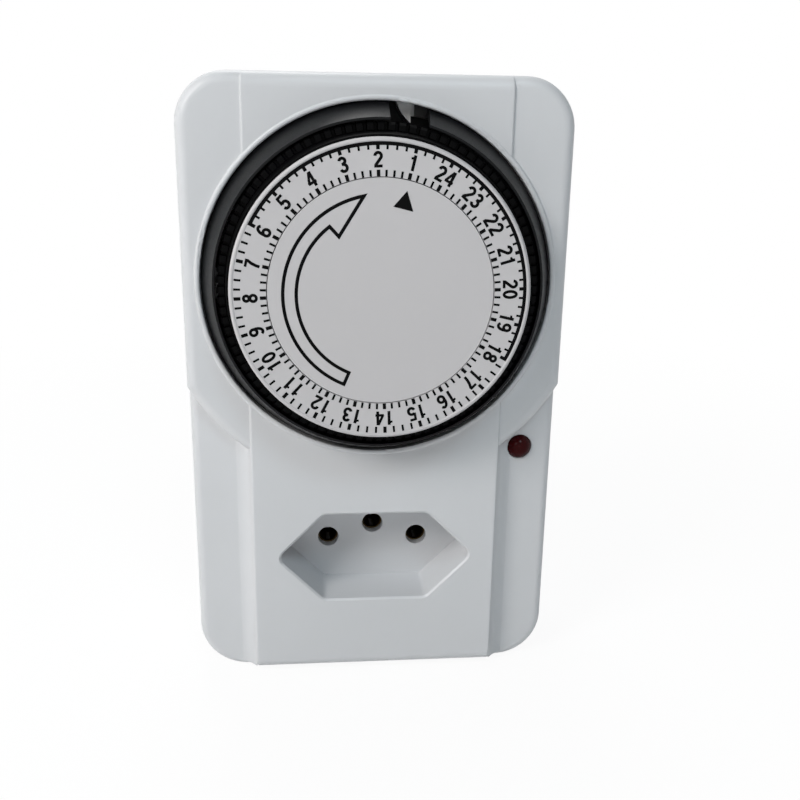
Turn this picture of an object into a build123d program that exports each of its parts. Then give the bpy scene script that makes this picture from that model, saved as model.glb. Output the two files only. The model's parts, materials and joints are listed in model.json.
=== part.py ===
from build123d import *
import math
import os

# Plug-in mechanical time switch: a 24 hour tappet dial above a recessed socket, plug at the back.
# Millimetres. +Z up, +X right seen from the front, the front looks along -Y.
# The origin is the middle of the plug's end face, between the line and neutral pins.
# A "depth" is measured behind the face of the raised front band, so what stands proud is negative.

# Body shell; its outline follows the dial's opening and the margins round it
opening_radius = 33.2
side_margin = 3.5
top_margin = 4.7
dial_gap = 23.4
body_below_axis = 26.5
body_depth = 38.0
front_shell_depth = 24.0
corner_radius = 9.5
wall = 2.0
edge_radius = 1.8
rear_edge_radius = 2.0
overrun = 0.5
rest_gap = 0.2

# Raised band, round boss and lower shoulders
band_width_share = 0.6757
band_end_inset = 1.1
band_bottom_radius = 2.0
band_side_radius = 0.45
boss_radius_share = 1.265
boss_depth = 0.5
boss_edge_radius = 2.2
shoulder_depth = 3.2
shoulder_fall = 0.8
shoulder_overlap = 2.0
cove_width = 4.2
cove_drop = 2.8

# Joint between the two shells
lip_length = 2.0
lip_thickness = 1.2
lip_gap = 0.2

# Case screws
case_boss_radius = 3.2
case_rear_boss_radius = 4.2
case_boss_inset = 6.1
case_boss_root = 5.0
case_screw_radius = 1.5
case_screw_gap = 0.05
case_screw_length = 18.0
case_hole_radius = 1.7
case_head_radius = 2.8
case_head_height = 2.0
case_counterbore_radius = 3.2
case_counterbore_depth = 7.0

# Socket and plug: round pins on a line with the earth pin set off it
pin_spacing = 19.0
earth_offset = 3.0
pin_radius = 2.0
pin_length = 19.0
pin_tip_length = 0.9
pin_tip_bevel = 0.3
pin_root_radius = 2.3
pin_head_radius = 3.4
pin_head_height = 2.0
socket_width = 40.1
socket_flat_width = 21.15
socket_height = 18.97
socket_corner_radius = 1.8
socket_depth = 10.54
socket_draft = 0.35
socket_chamfer = 0.4
socket_wall = 1.8
socket_floor = 2.0
socket_hole_radius = 2.2
plug_boss_length = 10.5
plug_boss_inset = 1.6
plug_boss_wall = 2.0
pin_tube_radius = 3.6

# Brass parts
contact_bore_radius = 1.95
contact_radius = 2.95
contact_slot_width = 0.8
contact_slot_share = 0.632
nest_radius = 4.3
nest_gap = 0.1
nest_length = 7.0
strap_thickness = 1.0
strap_width = 6.4
strap_reach = 3.3
strap_fold_depth = 4.06
bar_width = 4.6
bar_tab_height = 7.0
bar_side_gap = 0.4
feed_bar_x_share = 0.7078

# Dial, all round one axis; shares here and below are of the opening's radius
dial_proud = 10.28
dial_radius_share = 0.8163
dial_thickness = 0.9
dial_rim_rise = 0.1
dial_rim_width = 0.75
dial_rim_bevel = 0.35
centre_radius_share = 0.6114
centre_thickness = 0.7
centre_gap = 0.15
centre_boss_share = 0.2108
centre_boss_depth = -8.6
stem_radius_share = 0.0738
stem_gap = 0.02
stem_length = 6.5
bead_radius = 0.6
bead_inset = 0.45
bead_depth = 0.35
hours = 24
tappets_per_hour = 4
midnight_angle = 28.0

# Black collar round the dial
collar_gap = 0.25
collar_foot_depth = 0.9
collar_top_depth = -6.0
collar_lip = 0.45
collar_wall = 1.35
collar_run_gap = 0.3
collar_flange_reach = 1.45
collar_flange_thickness = 1.5
window_start_angle = 3.0
window_end_angle = 16.4

# Tappets and the drum that carries them
drum_radius_share = 0.8434
tappet_gap = 0.15
tappet_thickness = 1.4
tappet_width_share = 0.6242
tappet_top_depth = -6.0
tappet_bottom_depth = 0.4
tappet_foot_share = 0.8133
tappet_foot_height = 1.0
tappet_chamfer = 0.45
tappet_travel = 2.0
drum_top_share = 0.8283
drum_waist_share = 0.8072
drum_flange_share = 0.8404
drum_flange_thickness = 0.8
drum_bore_share = 0.7892
drum_web_depth = -8.4
drum_web_thickness = 1.4
drum_seat_share = 0.5964
hub_radius_share = 0.2259
hub_clearance = 0.08
fin_width_share = 0.2443
fin_top_depth = -5.2
fin_inset = 0.25
fin_root = 0.1
gear_top_depth = -1.2

# Gear train; the module follows the ring gear's pitch circle
ring_gear_share = 0.7229
ring_teeth = 96
wheel_teeth = 36
pinion_teeth = 12
pressure_angle = 20.0
addendum_share = 0.8
dedendum_share = 1.1
tooth_half_share = 0.21
arbor_radius = 1.0
arbor_clearance = 0.05
arbor_head_radius = 1.8
arbor_head_height = 0.6
wheel_thickness = 1.4
second_wheel_depth = 4.6
first_wheel_depth = 6.8
second_pinion_depth = -1.4
wheel_hub_radius = 2.0
second_arbor_angle = -60.0
first_arbor_angle = 180.0
motor_arbor_angle = 130.0

# Movement plate
plate_depth = 10.0
plate_thickness = 2.0
post_radius_share = 0.1506
post_bore_depth = 8.0
post_foot_share = 0.241
plate_pad_radius = 3.6
plate_corner_pad_radius = 3.0
plate_post_radius = 2.6
plate_screw_radius = 1.0
plate_head_radius = 2.1
plate_head_height = 1.4
plate_screw_length = 8.0
plate_post_root = 1.0
top_post_angle = 125.0
top_post_gap = 0.7
low_post_x_share = 0.8283
low_post_drop_share = 0.8133

# Motor
motor_x_share = -0.1205
motor_drop_share = 0.0602
motor_radius_share = 0.6777
motor_gearbox_depth = 7.0
motor_can_share = 0.6175
motor_can_depth = 8.0
motor_bush_radius = 3.4
motor_bush_length = 1.6
motor_bush_gap = 0.4
motor_shaft_radius = 1.2
motor_shaft_clearance = 0.05
motor_shaft_socket = 5.0
motor_ear_share = 0.7831
motor_ear_radius = 3.5
motor_ear_thickness = 1.0
motor_screw_radius = 1.4
motor_head_radius = 2.6
motor_head_height = 1.6

# Follower lever and its pivot, seen from the dial's axis
lever_pivot_x_share = 0.512
lever_pivot_rise_share = 0.9036
lever_depth = 4.8
lever_thickness = 2.6
lever_hub_radius = 2.6
lever_pin_radius = 1.0
lever_pin_clearance = 0.05
lever_arm_width = 2.6
nose_x_share = 0.1807
nose_tip_share = 0.8825
nose_top_share = 1.0241
nose_width = 2.7
nose_shoulder = 0.5
nose_depth = 3.2
tail_x_share = 0.8133
tail_radius = 1.3
tail_slot_play = 0.5
tail_drop = 1.0

# Switch behind the plate
switch_x_share = 0.7229
switch_length_share = 0.5904
switch_height_share = 0.3012
switch_thickness = 6.4
switch_top_share = 0.741
switch_edge_radius = 0.8
switch_hole_inset = 4.0
switch_screw_radius = 0.9
switch_head_radius = 1.7
switch_head_height = 1.1
plunger_width = 2.4
plunger_thickness = 3.0
plunger_height = 1.5
plunger_rest_gap = 0.2
plunger_depth_inside = 3.0
plunger_clearance = 0.1
terminal_width = 4.0
terminal_thickness = 0.6
terminal_length = 6.0

# Override slider on the right side
slider_drop_share = 0.4096
slider_travel = 4.0
slider_knob_width = 4.0
slider_knob_length = 6.0
slider_knob_proud = 0.9
slider_groove = 0.5
slider_groove_count = 3
slider_flange_width = 6.8
slider_flange_length = 17.0
slider_flange_thickness = 1.5
slider_rib = 1.2
slider_lip = 1.0
slider_gap = 0.2

# Indicator
lens_side_inset = 6.9
lens_drop_share = 1.0301
lens_radius = 2.5
lens_dome_height = 1.9
lens_hole_gap = 0.05
lens_flange_radius = 3.3
lens_flange_height = 0.8
lens_bore_radius = 1.75
lens_bore_depth = 3.4
lamp_radius = 1.5
lamp_flange_radius = 1.9
lamp_flange_height = 0.8
lamp_length = 4.4
board_width = 8.4
board_height = 11.6
board_thickness = 1.2
board_drop = 2.6
board_post_radius = 1.3
board_stake_radius = 0.7
board_stake_gap = 0.05
board_post_spacing = 5.2
board_post_drop = 6.4

# Worked out from the sizes above
front_y = -(plug_boss_length + body_depth)
dial_height = dial_gap + opening_radius
body_width = 2 * (opening_radius + side_margin)
body_top_z = dial_height + opening_radius + top_margin
body_height = body_top_z + body_below_axis
body_mid_z = body_height / 2 - body_below_axis
band_width = band_width_share * body_width
boss_radius = boss_radius_share * opening_radius
ceiling_depth = boss_depth + wall
band_top_radius = boss_depth + boss_edge_radius
cove_radius = (cove_width ** 2 + cove_drop ** 2) / (2 * cove_drop)
lens_seat_depth = shoulder_depth + shoulder_fall / 2
shoulder_ceiling_depth = shoulder_depth + shoulder_fall + wall
back_depth = body_depth - wall
floor_back_depth = socket_depth + socket_floor
pin_head_depth = back_depth - pin_head_height
contact_back_depth = pin_head_depth - strap_fold_depth
contact_slot_length = contact_slot_share * (contact_back_depth - floor_back_depth)
plug_face_depth = body_depth + plug_boss_length
dial_seat_depth = dial_thickness - dial_proud
dial_face_depth = dial_rim_rise - dial_proud
plate_back_depth = plate_depth + plate_thickness
dial_radius = dial_radius_share * opening_radius
centre_radius = centre_radius_share * opening_radius
centre_boss_radius = centre_boss_share * opening_radius
stem_radius = stem_radius_share * opening_radius
drum_radius = drum_radius_share * opening_radius
drum_top_radius = drum_top_share * opening_radius
drum_waist_radius = drum_waist_share * opening_radius
drum_flange_radius = drum_flange_share * opening_radius
drum_bore_radius = drum_bore_share * opening_radius
drum_seat_radius = drum_seat_share * opening_radius
hub_radius = hub_radius_share * opening_radius
post_radius = post_radius_share * opening_radius
post_foot_radius = post_foot_share * opening_radius
tappet_pitch = 360 / (hours * tappets_per_hour)
tappet_inner_radius = drum_radius + tappet_gap
tappet_outer_radius = tappet_inner_radius + tappet_thickness
tappet_foot_radius = tappet_foot_share * opening_radius
tappet_room = 2 * math.pi * tappet_inner_radius / (hours * tappets_per_hour)
tappet_width = tappet_width_share * tappet_room
fin_width = fin_width_share * tappet_room
fin_outer_radius = tappet_outer_radius - fin_inset
hub_bottom_depth = tappet_bottom_depth + tappet_travel + rest_gap + drum_flange_thickness
collar_radius = opening_radius - collar_gap
collar_bore_top_radius = tappet_outer_radius + collar_run_gap
collar_top_radius = collar_bore_top_radius + collar_lip
collar_bore_foot_radius = collar_radius - collar_wall
collar_flange_radius = collar_radius + collar_flange_reach
gear_module = 2 * ring_gear_share * opening_radius / ring_teeth
mesh_radius = gear_module * ring_teeth / 2 - gear_module * pinion_teeth / 2
train_step = gear_module * (wheel_teeth + pinion_teeth) / 2
pole_places = {"line": (pin_spacing / 2, 0), "neutral": (-pin_spacing / 2, 0), "earth": (0, earth_offset)}
case_boss_places = [
    (side * (body_width / 2 - case_boss_inset), end)
    for end in (case_boss_inset - body_below_axis, body_top_z - case_boss_inset)
    for side in (-1, 1)
]


def step_from(place, distance, angle):
    """The point at a distance and an angle, anticlockwise from +X, from another point in X and Z."""
    turn = math.radians(angle)
    return (place[0] + distance * math.cos(turn), place[1] + distance * math.sin(turn))


def from_dial(across_share, up_share):
    """The place at shares of the opening's radius across and up from the dial's axis."""
    return (across_share * opening_radius, dial_height + up_share * opening_radius)


dial_place = (0, dial_height)
top_post_reach = collar_flange_radius + plate_post_radius + top_post_gap
plate_post_places = [
    step_from(dial_place, top_post_reach, top_post_angle),
    from_dial(-low_post_x_share, -low_post_drop_share),
    from_dial(low_post_x_share, -low_post_drop_share),
]
second_place = step_from(dial_place, mesh_radius, second_arbor_angle)
first_place = step_from(second_place, train_step, first_arbor_angle)
motor_shaft_place = step_from(first_place, train_step, motor_arbor_angle)
motor_place = from_dial(motor_x_share, -motor_drop_share)
motor_radius = motor_radius_share * opening_radius
motor_can_radius = motor_can_share * opening_radius
motor_ear_reach = motor_ear_share * opening_radius
motor_ear_places = [(motor_place[0] + side * motor_ear_reach, motor_place[1]) for side in (-1, 1)]
lever_place = from_dial(lever_pivot_x_share, lever_pivot_rise_share)
nose_tip = from_dial(nose_x_share, nose_tip_share)
nose_top = from_dial(nose_x_share, nose_top_share)
switch_x, switch_top_z = from_dial(switch_x_share, switch_top_share)
switch_length = switch_length_share * opening_radius
switch_height = switch_height_share * opening_radius
switch_mid_z = switch_top_z - switch_height / 2
tail_x = tail_x_share * opening_radius
tail_place = (tail_x, switch_top_z + plunger_height + plunger_rest_gap + tail_radius)
lip_face_x = body_width / 2 - wall - lip_gap - lip_thickness
feed_bar_x = feed_bar_x_share * opening_radius
return_bar_x = lip_face_x - bar_side_gap - terminal_width / 2
lens_x = body_width / 2 - lens_side_inset
lens_height = dial_height - lens_drop_share * opening_radius
slider_height = dial_height - slider_drop_share * opening_radius
slider_half_width = slider_flange_width / 2 + slider_gap
slider_mid_depth = front_shell_depth - lip_length - lip_gap - slider_half_width - slider_rib
slider_foot_x = body_width / 2 - wall - slider_gap - slider_flange_thickness - slider_gap
switch_screw_places = [
    (switch_x + side * (switch_length / 2 - switch_hole_inset), switch_mid_z) for side in (-1, 1)
]
board_mid_z = lens_height - board_drop
board_front_depth = shoulder_ceiling_depth + lens_flange_height + lamp_flange_height + rest_gap
board_post_places = [
    (lens_x + side * board_post_spacing / 2, lens_height - board_post_drop) for side in (-1, 1)
]
switch_mid_depth = plate_back_depth + switch_thickness / 2


def level(depth):
    """Plane across the body at a depth, with X to the right, Z up and its normal to the front."""
    return Plane.XZ.offset(-(front_y + depth))


def slab(sketch, near, far):
    """Solid of an X and Z sketch between two depths."""
    return extrude(level(far) * sketch, amount=far - near)


def disc(place, radius):
    """Round sketch about a place in X and Z."""
    return Pos(*place) * Circle(radius)


def turned(points, place=(0, 0)):
    """Solid turned about a line along Y through a place; the points are radius and depth."""
    outline = Polyline(*[(radius, front_y + depth) for radius, depth in points], close=True)
    return Pos(place[0], 0, place[1]) * revolve(make_face(outline), axis=Axis.Y)


def side_strip(points, mid_x, width):
    """Solid of an outline of depth and Z points, as wide along X as given."""
    outline = Polyline(*[(front_y + depth, z) for depth, z in points], close=True)
    return extrude(Plane.YZ.offset(mid_x - width / 2) * make_face(outline), amount=width)


def rounded_slab(sketch, near, far, radius):
    """Slab with its front edges rounded."""
    solid = slab(sketch, near, far)
    return fillet(solid.edges().group_by(Axis.Y)[0], radius)


def body_outline(inset):
    """Rounded outline of the body, drawn in by an inset."""
    return Pos(0, body_mid_z) * RectangleRounded(
        body_width - 2 * inset, body_height - 2 * inset, corner_radius - inset
    )


def boss_outline(inset):
    """The round boss and the plain top of the body above the dial's axis, drawn in by an inset."""
    top_half = Pos(0, dial_height + body_height / 2) * Rectangle(body_width, body_height)
    return body_outline(inset) & (disc(dial_place, boss_radius - inset) + top_half)


def socket_outline(inset):
    """Six-sided outline of socket and plug, drawn in by an inset or grown by a negative one."""
    right = socket_width / 2
    flat = socket_flat_width / 2
    top = socket_height / 2
    corners = [(right, 0), (flat, top), (-flat, top), (-right, 0), (-flat, -top), (flat, -top)]
    outline = Polygon(*corners, align=None)
    outline = fillet(outline.vertices(), socket_corner_radius)
    if inset:
        outline = offset(outline, amount=-inset)
    return outline


def pole_discs(radius):
    """Three round sketches, one about each pole of the plug and socket."""
    return Sketch() + [disc(place, radius) for place in pole_places.values()]


def discs(places, radius):
    """Round sketches of one radius about several places."""
    return Sketch() + [disc(place, radius) for place in places]


def band_column(width):
    """Upright block of a width with the band's rounded ends."""
    low = band_end_inset - body_below_axis
    far = front_y + front_shell_depth
    low_start = (front_y + band_bottom_radius, low)
    low_end = (front_y, low + band_bottom_radius)
    top_start = (front_y, body_top_z - band_top_radius)
    top_end = (front_y + band_top_radius, body_top_z)
    lines = Curve() + [
        RadiusArc(low_start, low_end, band_bottom_radius),
        Line(low_end, top_start),
        RadiusArc(top_start, top_end, band_top_radius),
        Polyline(top_end, (far, body_top_z), (far, low), low_start),
    ]
    return extrude(Plane.YZ.offset(-width / 2) * make_face(lines), amount=width)


def raised_band():
    """The raised band from top to bottom with its long edges rounded."""
    block = band_column(band_width)
    sides = block.edges().filter_by(Axis.Z).group_by(Axis.Y)[0]
    return fillet(sides, band_side_radius)


def shoulder_block(side):
    """One side of the shell, its front falling away towards the rounded outer edge."""
    start = band_width / 2 - shoulder_overlap
    reach = body_width / 2 - start
    field = Pos(side * (start + reach / 2), body_mid_z) * Rectangle(reach, body_height)
    block = slab(field & body_outline(0), boss_depth, front_shell_depth)
    outer = side * (start + reach + overrun)
    slope = Polyline(
        (side * start, front_y), (outer, front_y), (outer, front_y + shoulder_depth + shoulder_fall),
        (side * band_width / 2, front_y + shoulder_depth), (side * start, front_y + shoulder_depth),
        close=True,
    )
    cutter = extrude(Pos(0, 0, -body_below_axis) * make_face(slope), amount=body_height, dir=(0, 0, 1))
    block = block - cutter
    front = [face for face in block.faces() if abs(face.center().X) > band_width / 2]
    front = ShapeList(front).sort_by(Axis.Y)[0]
    rim = [edge for edge in front.edges() if abs(edge.center().X) > band_width / 2 + overrun]
    return block.fillet(edge_radius, rim)


def shoulder_cove(side):
    """The concave sweep from one side of the band down to the shoulder beside it."""
    edge = side * band_width / 2
    foot = edge + side * cove_width
    top = front_y + boss_depth + band_side_radius / 2
    low = top + cove_drop
    lines = Curve() + [
        RadiusArc((edge, top), (foot, low), side * cove_radius),
        Polyline((foot, low), (foot, low + wall), (edge, low + wall), (edge, top)),
    ]
    bottom = band_end_inset - body_below_axis
    boss_edge = dial_height - math.sqrt(boss_radius ** 2 - foot ** 2)
    face = Pos(0, 0, bottom) * make_face(lines)
    return extrude(face, amount=boss_edge + shoulder_overlap - bottom, dir=(0, 0, 1))


def opening_bead():
    """Small rounded bead on the rim of the dial's opening."""
    section = Pos(opening_radius + bead_inset, front_y + bead_depth) * Circle(bead_radius)
    return Pos(0, 0, dial_height) * revolve(section, axis=Axis.Y)


def slider_channel():
    """Two hooked ribs inside the right wall that hold the override slider."""
    inner = body_width / 2 - wall
    foot = slider_foot_x
    half = slider_half_width
    ribs = Part()
    for side in (-1, 1):
        outline = Polyline(
            (inner + overrun, side * half),
            (inner + overrun, side * (half + slider_rib)),
            (foot - slider_lip, side * (half + slider_rib)),
            (foot - slider_lip, side * (half - slider_lip)),
            (foot, side * (half - slider_lip)),
            (foot, side * half),
            close=True,
        )
        length = slider_flange_length + slider_travel
        low = slider_height - slider_flange_length / 2
        face = Pos(0, front_y + slider_mid_depth, low) * make_face(outline)
        ribs = ribs + extrude(face, amount=length, dir=(0, 0, 1))
    return ribs


def front_housing():
    """Front shell: band, boss, shoulders, socket recess, dial opening and the posts inside."""
    shell = raised_band() + rounded_slab(boss_outline(0), boss_depth, front_shell_depth, boss_edge_radius)
    for side in (-1, 1):
        shell = shell + shoulder_block(side) + (shoulder_cove(side) & band_column(body_width))
    inner_band = Pos(0, body_mid_z) * Rectangle(band_width - 2 * wall, body_height)
    high_field = boss_outline(wall) + (inner_band & body_outline(wall))
    shell = shell - slab(body_outline(wall), shoulder_ceiling_depth, front_shell_depth)
    shell = shell - slab(high_field, ceiling_depth, front_shell_depth)
    shell = shell + slab(socket_outline(-socket_wall), wall, floor_back_depth)
    shell = shell + slab(pole_discs(nest_radius), socket_depth, floor_back_depth + nest_length)
    mouth = level(0) * socket_outline(0)
    floor = level(socket_depth) * socket_outline(socket_draft)
    shell = shell - loft([floor.face(), mouth.face()])
    rim = level(socket_chamfer) * socket_outline(0)
    wide_mouth = level(0) * socket_outline(-socket_chamfer)
    shell = shell - loft([rim.face(), wide_mouth.face()])
    shell = shell - slab(pole_discs(socket_hole_radius), 0, floor_back_depth + overrun)
    nests = pole_discs(contact_radius + nest_gap)
    shell = shell - slab(nests, floor_back_depth, floor_back_depth + nest_length + overrun)
    bosses = discs(case_boss_places, case_boss_radius)
    shell = shell + (slab(bosses, case_boss_root, front_shell_depth) & slab(body_outline(0), 0, body_depth))
    pilots = discs(case_boss_places, case_screw_radius + case_screw_gap)
    shell = shell - slab(pilots, shoulder_ceiling_depth, front_shell_depth)
    shell = shell + slab(discs(plate_post_places, plate_post_radius), plate_post_root, plate_depth)
    plate_pilots = discs(plate_post_places, plate_screw_radius + case_screw_gap)
    shell = shell - slab(plate_pilots, ceiling_depth, plate_depth)
    shell = shell + opening_bead()
    shell = shell - slab(disc(dial_place, opening_radius), -bead_radius, ceiling_depth + overrun)
    lens_hole = disc((lens_x, lens_height), lens_radius + lens_hole_gap)
    shell = shell - slab(lens_hole, 0, shoulder_ceiling_depth)
    post_root = lens_seat_depth + wall / 2
    stake_end = board_front_depth + board_thickness + rest_gap
    shell = shell + slab(discs(board_post_places, board_post_radius), post_root, board_front_depth)
    shell = shell + slab(discs(board_post_places, board_stake_radius), post_root, stake_end)
    shell = shell + slider_channel()
    slot_length = slider_knob_length + slider_travel + 2 * slider_gap
    slot = Box(4 * wall, slider_knob_width + 2 * slider_gap, slot_length)
    slot_mid = slider_height + slider_travel / 2
    return shell - Pos(body_width / 2, front_y + slider_mid_depth, slot_mid) * slot


def rear_cover():
    """Rear shell with its lip, screw bosses and the six-sided plug boss with the pins' tubes."""
    outer = slab(body_outline(0), front_shell_depth, body_depth)
    outer = fillet(outer.edges().group_by(Axis.Y)[-1], rear_edge_radius)
    shell = outer - slab(body_outline(wall), front_shell_depth, back_depth)
    lip_inset = wall + lip_gap
    lip = body_outline(lip_inset) - body_outline(lip_inset + lip_thickness)
    lip = lip - discs(case_boss_places, case_boss_radius + lip_gap)
    shell = shell + slab(lip, front_shell_depth - lip_length, front_shell_depth)
    root = body_outline(wall / 2) - body_outline(lip_inset + lip_thickness)
    shell = shell + slab(root, front_shell_depth, front_shell_depth + lip_length)
    bosses = slab(discs(case_boss_places, case_rear_boss_radius), front_shell_depth, back_depth + overrun)
    shell = shell + (bosses & slab(body_outline(wall / 2), 0, body_depth))
    plug = socket_outline(plug_boss_inset)
    shell = shell + slab(plug, back_depth, plug_face_depth)
    hollow = slab(socket_outline(plug_boss_inset + plug_boss_wall), back_depth - overrun,
                  plug_face_depth - plug_boss_wall)
    shell = shell - hollow
    shell = shell + slab(pole_discs(pin_tube_radius), back_depth, plug_face_depth)
    shell = shell - slab(pole_discs(pin_root_radius), back_depth - overrun, plug_face_depth + overrun)
    shell = shell - slab(discs(case_boss_places, case_hole_radius), front_shell_depth - overrun, body_depth)
    seat = body_depth - case_counterbore_depth
    return shell - slab(discs(case_boss_places, case_counterbore_radius), seat, body_depth + overrun)


def screws(places, radius, head_radius, head_height, seat_depth, length):
    """Flat-headed screws driven from the back, their heads on a seat."""
    heads = slab(discs(places, head_radius), seat_depth, seat_depth + head_height)
    return heads + slab(discs(places, radius), seat_depth - length, seat_depth)


def plug_pin(place):
    """Round plug pin: head inside, thick root in the boss, free length with a rounded end."""
    tip = plug_face_depth + pin_length
    return turned([
        (0, pin_head_depth), (pin_head_radius, pin_head_depth), (pin_head_radius, back_depth),
        (pin_root_radius, back_depth), (pin_root_radius, plug_face_depth),
        (pin_radius, plug_face_depth), (pin_radius, tip - pin_tip_length),
        (pin_radius - pin_tip_bevel, tip - pin_tip_bevel), (pin_radius - pin_tip_length, tip), (0, tip),
    ], place)


def socket_contact(place):
    """Slit brass sleeve behind one socket hole."""
    ring = disc(place, contact_radius) - disc(place, contact_bore_radius)
    sleeve = slab(ring, floor_back_depth, contact_back_depth)
    span = 2 * contact_radius + overrun
    slit = Pos(*place) * (Rectangle(contact_slot_width, span) + Rectangle(span, contact_slot_width))
    start = floor_back_depth + contact_slot_width
    return sleeve - slab(slit, start, start + contact_slot_length)


def through_strap(place):
    """Folded brass strip that joins a socket sleeve to the plug pin behind it."""
    low = place[1] - strap_reach
    fold = place[1] + strap_reach
    near = contact_back_depth
    return side_strip([
        (near, low), (near, fold + strap_thickness), (pin_head_depth, fold + strap_thickness),
        (pin_head_depth, low), (pin_head_depth - strap_thickness, low),
        (pin_head_depth - strap_thickness, fold), (near + strap_thickness, fold),
        (near + strap_thickness, low),
    ], place[0], strap_width)


def switch_bar(x, near):
    """Brass strip from the line pole across, up the side and forward to a terminal of the switch."""
    place = pole_places["line"]
    low = place[1] - bar_width / 2
    top = switch_mid_z - switch_height / 2 - terminal_length
    across = x + bar_width / 2 - place[0] + strap_reach
    foot = Pos(place[0] - strap_reach + across / 2, place[1]) * Rectangle(across, bar_width)
    rise = Pos(x, (low + top) / 2) * Rectangle(bar_width, top - low)
    flat = slab(foot + rise, near, near + strap_thickness)
    tab = switch_mid_depth + terminal_thickness / 2
    arm = side_strip([
        (near + strap_thickness, top - strap_thickness), (near + strap_thickness, top),
        (tab + strap_thickness, top), (tab + strap_thickness, top + bar_tab_height - strap_thickness),
        (tab, top + bar_tab_height - strap_thickness), (tab, top - strap_thickness),
    ], x, terminal_width)
    return flat + arm


def gear_outline(teeth, tip, root, half_share, start_angle):
    """Toothed outline about the origin; half_share is half a tooth in pitches at the pitch circle."""
    pitch_radius = gear_module * teeth / 2
    base_radius = pitch_radius * math.cos(math.radians(pressure_angle))

    def involute(radius):
        bend = math.acos(min(base_radius / max(radius, base_radius), 1))
        return math.tan(bend) - bend

    def half_angle(radius):
        return 2 * math.pi * half_share / teeth + involute(pitch_radius) - involute(radius)

    points = []
    for tooth in range(teeth):
        mid = math.radians(start_angle) + 2 * math.pi * tooth / teeth
        for radius, side in ((root, -1), (tip, -1), (tip, 1), (root, 1)):
            turn = mid + side * half_angle(radius)
            points.append((radius * math.cos(turn), radius * math.sin(turn)))
    return make_face(Polyline(*points, close=True))


def outer_gear(teeth, start_angle):
    """Outline of a wheel or pinion with outward teeth, one of them at the start angle."""
    pitch_radius = gear_module * teeth / 2
    tip = pitch_radius + addendum_share * gear_module
    root = pitch_radius - dedendum_share * gear_module
    return gear_outline(teeth, tip, root, tooth_half_share, start_angle)


def ring_gear_spaces():
    """Outline that cuts the drum's inward teeth, with a space towards the second arbor."""
    pitch_radius = gear_module * ring_teeth / 2
    tip = pitch_radius + dedendum_share * gear_module
    root = pitch_radius - addendum_share * gear_module - overrun
    pitches_per_tooth = 1
    space_half_share = pitches_per_tooth / 2 - tooth_half_share
    return gear_outline(ring_teeth, tip, root, space_half_share, second_arbor_angle)


def tappet_carrier():
    """Black drum: hub and web, seat for the dial ring, fins between the tappets and a ring gear."""
    gear_tip = gear_module * ring_teeth / 2 - addendum_share * gear_module
    foot_top = tappet_bottom_depth - tappet_foot_height - rest_gap
    flange_top = hub_bottom_depth - drum_flange_thickness
    web_back = drum_web_depth + drum_web_thickness
    bore = post_radius + hub_clearance
    drum = turned([
        (bore, drum_web_depth), (drum_seat_radius, drum_web_depth), (drum_seat_radius, dial_seat_depth),
        (drum_top_radius, dial_seat_depth), (drum_radius, tappet_top_depth), (drum_radius, foot_top),
        (drum_waist_radius, foot_top), (drum_waist_radius, flange_top), (drum_flange_radius, flange_top),
        (drum_flange_radius, hub_bottom_depth), (gear_tip, hub_bottom_depth), (gear_tip, gear_top_depth),
        (drum_bore_radius, gear_top_depth), (drum_bore_radius, web_back), (hub_radius, web_back),
        (hub_radius, hub_bottom_depth), (bore, hub_bottom_depth),
    ], dial_place)
    spaces = Pos(*dial_place) * ring_gear_spaces()
    centre = disc(dial_place, drum_seat_radius)
    drum = drum - slab(spaces - centre, gear_top_depth, hub_bottom_depth)
    fin_length = fin_outer_radius - drum_radius + fin_root
    fin = Pos(0, drum_radius - fin_root + fin_length / 2) * Rectangle(fin_width, fin_length)
    turns = [tappet_pitch * step - midnight_angle for step in range(hours * tappets_per_hour)]
    fins = Sketch() + [Pos(*dial_place) * Rot(0, 0, turn) * fin for turn in turns]
    return drum + slab(fins, fin_top_depth, foot_top)


def tappet(turn):
    """One quarter-hour tappet at an angle clockwise from the top, foot hooked under the drum."""
    foot_top = tappet_bottom_depth - tappet_foot_height
    profile = [
        (tappet_top_depth, tappet_inner_radius), (tappet_top_depth, tappet_outer_radius - tappet_chamfer),
        (tappet_top_depth + tappet_chamfer, tappet_outer_radius), (tappet_bottom_depth, tappet_outer_radius),
        (tappet_bottom_depth, tappet_foot_radius), (foot_top, tappet_foot_radius),
        (foot_top, tappet_inner_radius),
    ]
    upright = side_strip([(depth, dial_height + radius) for depth, radius in profile], 0, tappet_width)
    return upright.rotate(Axis((0, 0, dial_height), (0, 1, 0)), turn)


def hour_tappets(hour):
    """The four tappets from one hour mark to the next; the hours run anticlockwise."""
    start = midnight_angle - hour * tappet_pitch * tappets_per_hour
    turns = [start - tappet_pitch * (quarter + 1 / 2) for quarter in range(tappets_per_hour)]
    return Compound(children=[tappet(turn) for turn in turns])


def dial_ring():
    """White ring that carries the hours, its bevelled rim a little proud of the print."""
    inner = centre_radius + centre_gap
    rim = dial_radius - dial_rim_width
    return turned([
        (inner, dial_face_depth), (rim, dial_face_depth), (rim + dial_rim_rise, -dial_proud),
        (dial_radius - dial_rim_bevel, -dial_proud), (dial_radius, dial_rim_bevel - dial_proud),
        (dial_radius, dial_seat_depth), (inner, dial_seat_depth),
    ], dial_place)


def centre_disc():
    """White disc that stands still inside the ring, its stem held in the post."""
    back = centre_thickness - dial_proud
    return turned([
        (0, dial_face_depth), (centre_radius, dial_face_depth), (centre_radius, back),
        (centre_boss_radius, back), (centre_boss_radius, centre_boss_depth), (stem_radius, centre_boss_depth),
        (stem_radius, centre_boss_depth + stem_length), (0, centre_boss_depth + stem_length),
    ], dial_place)


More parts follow.
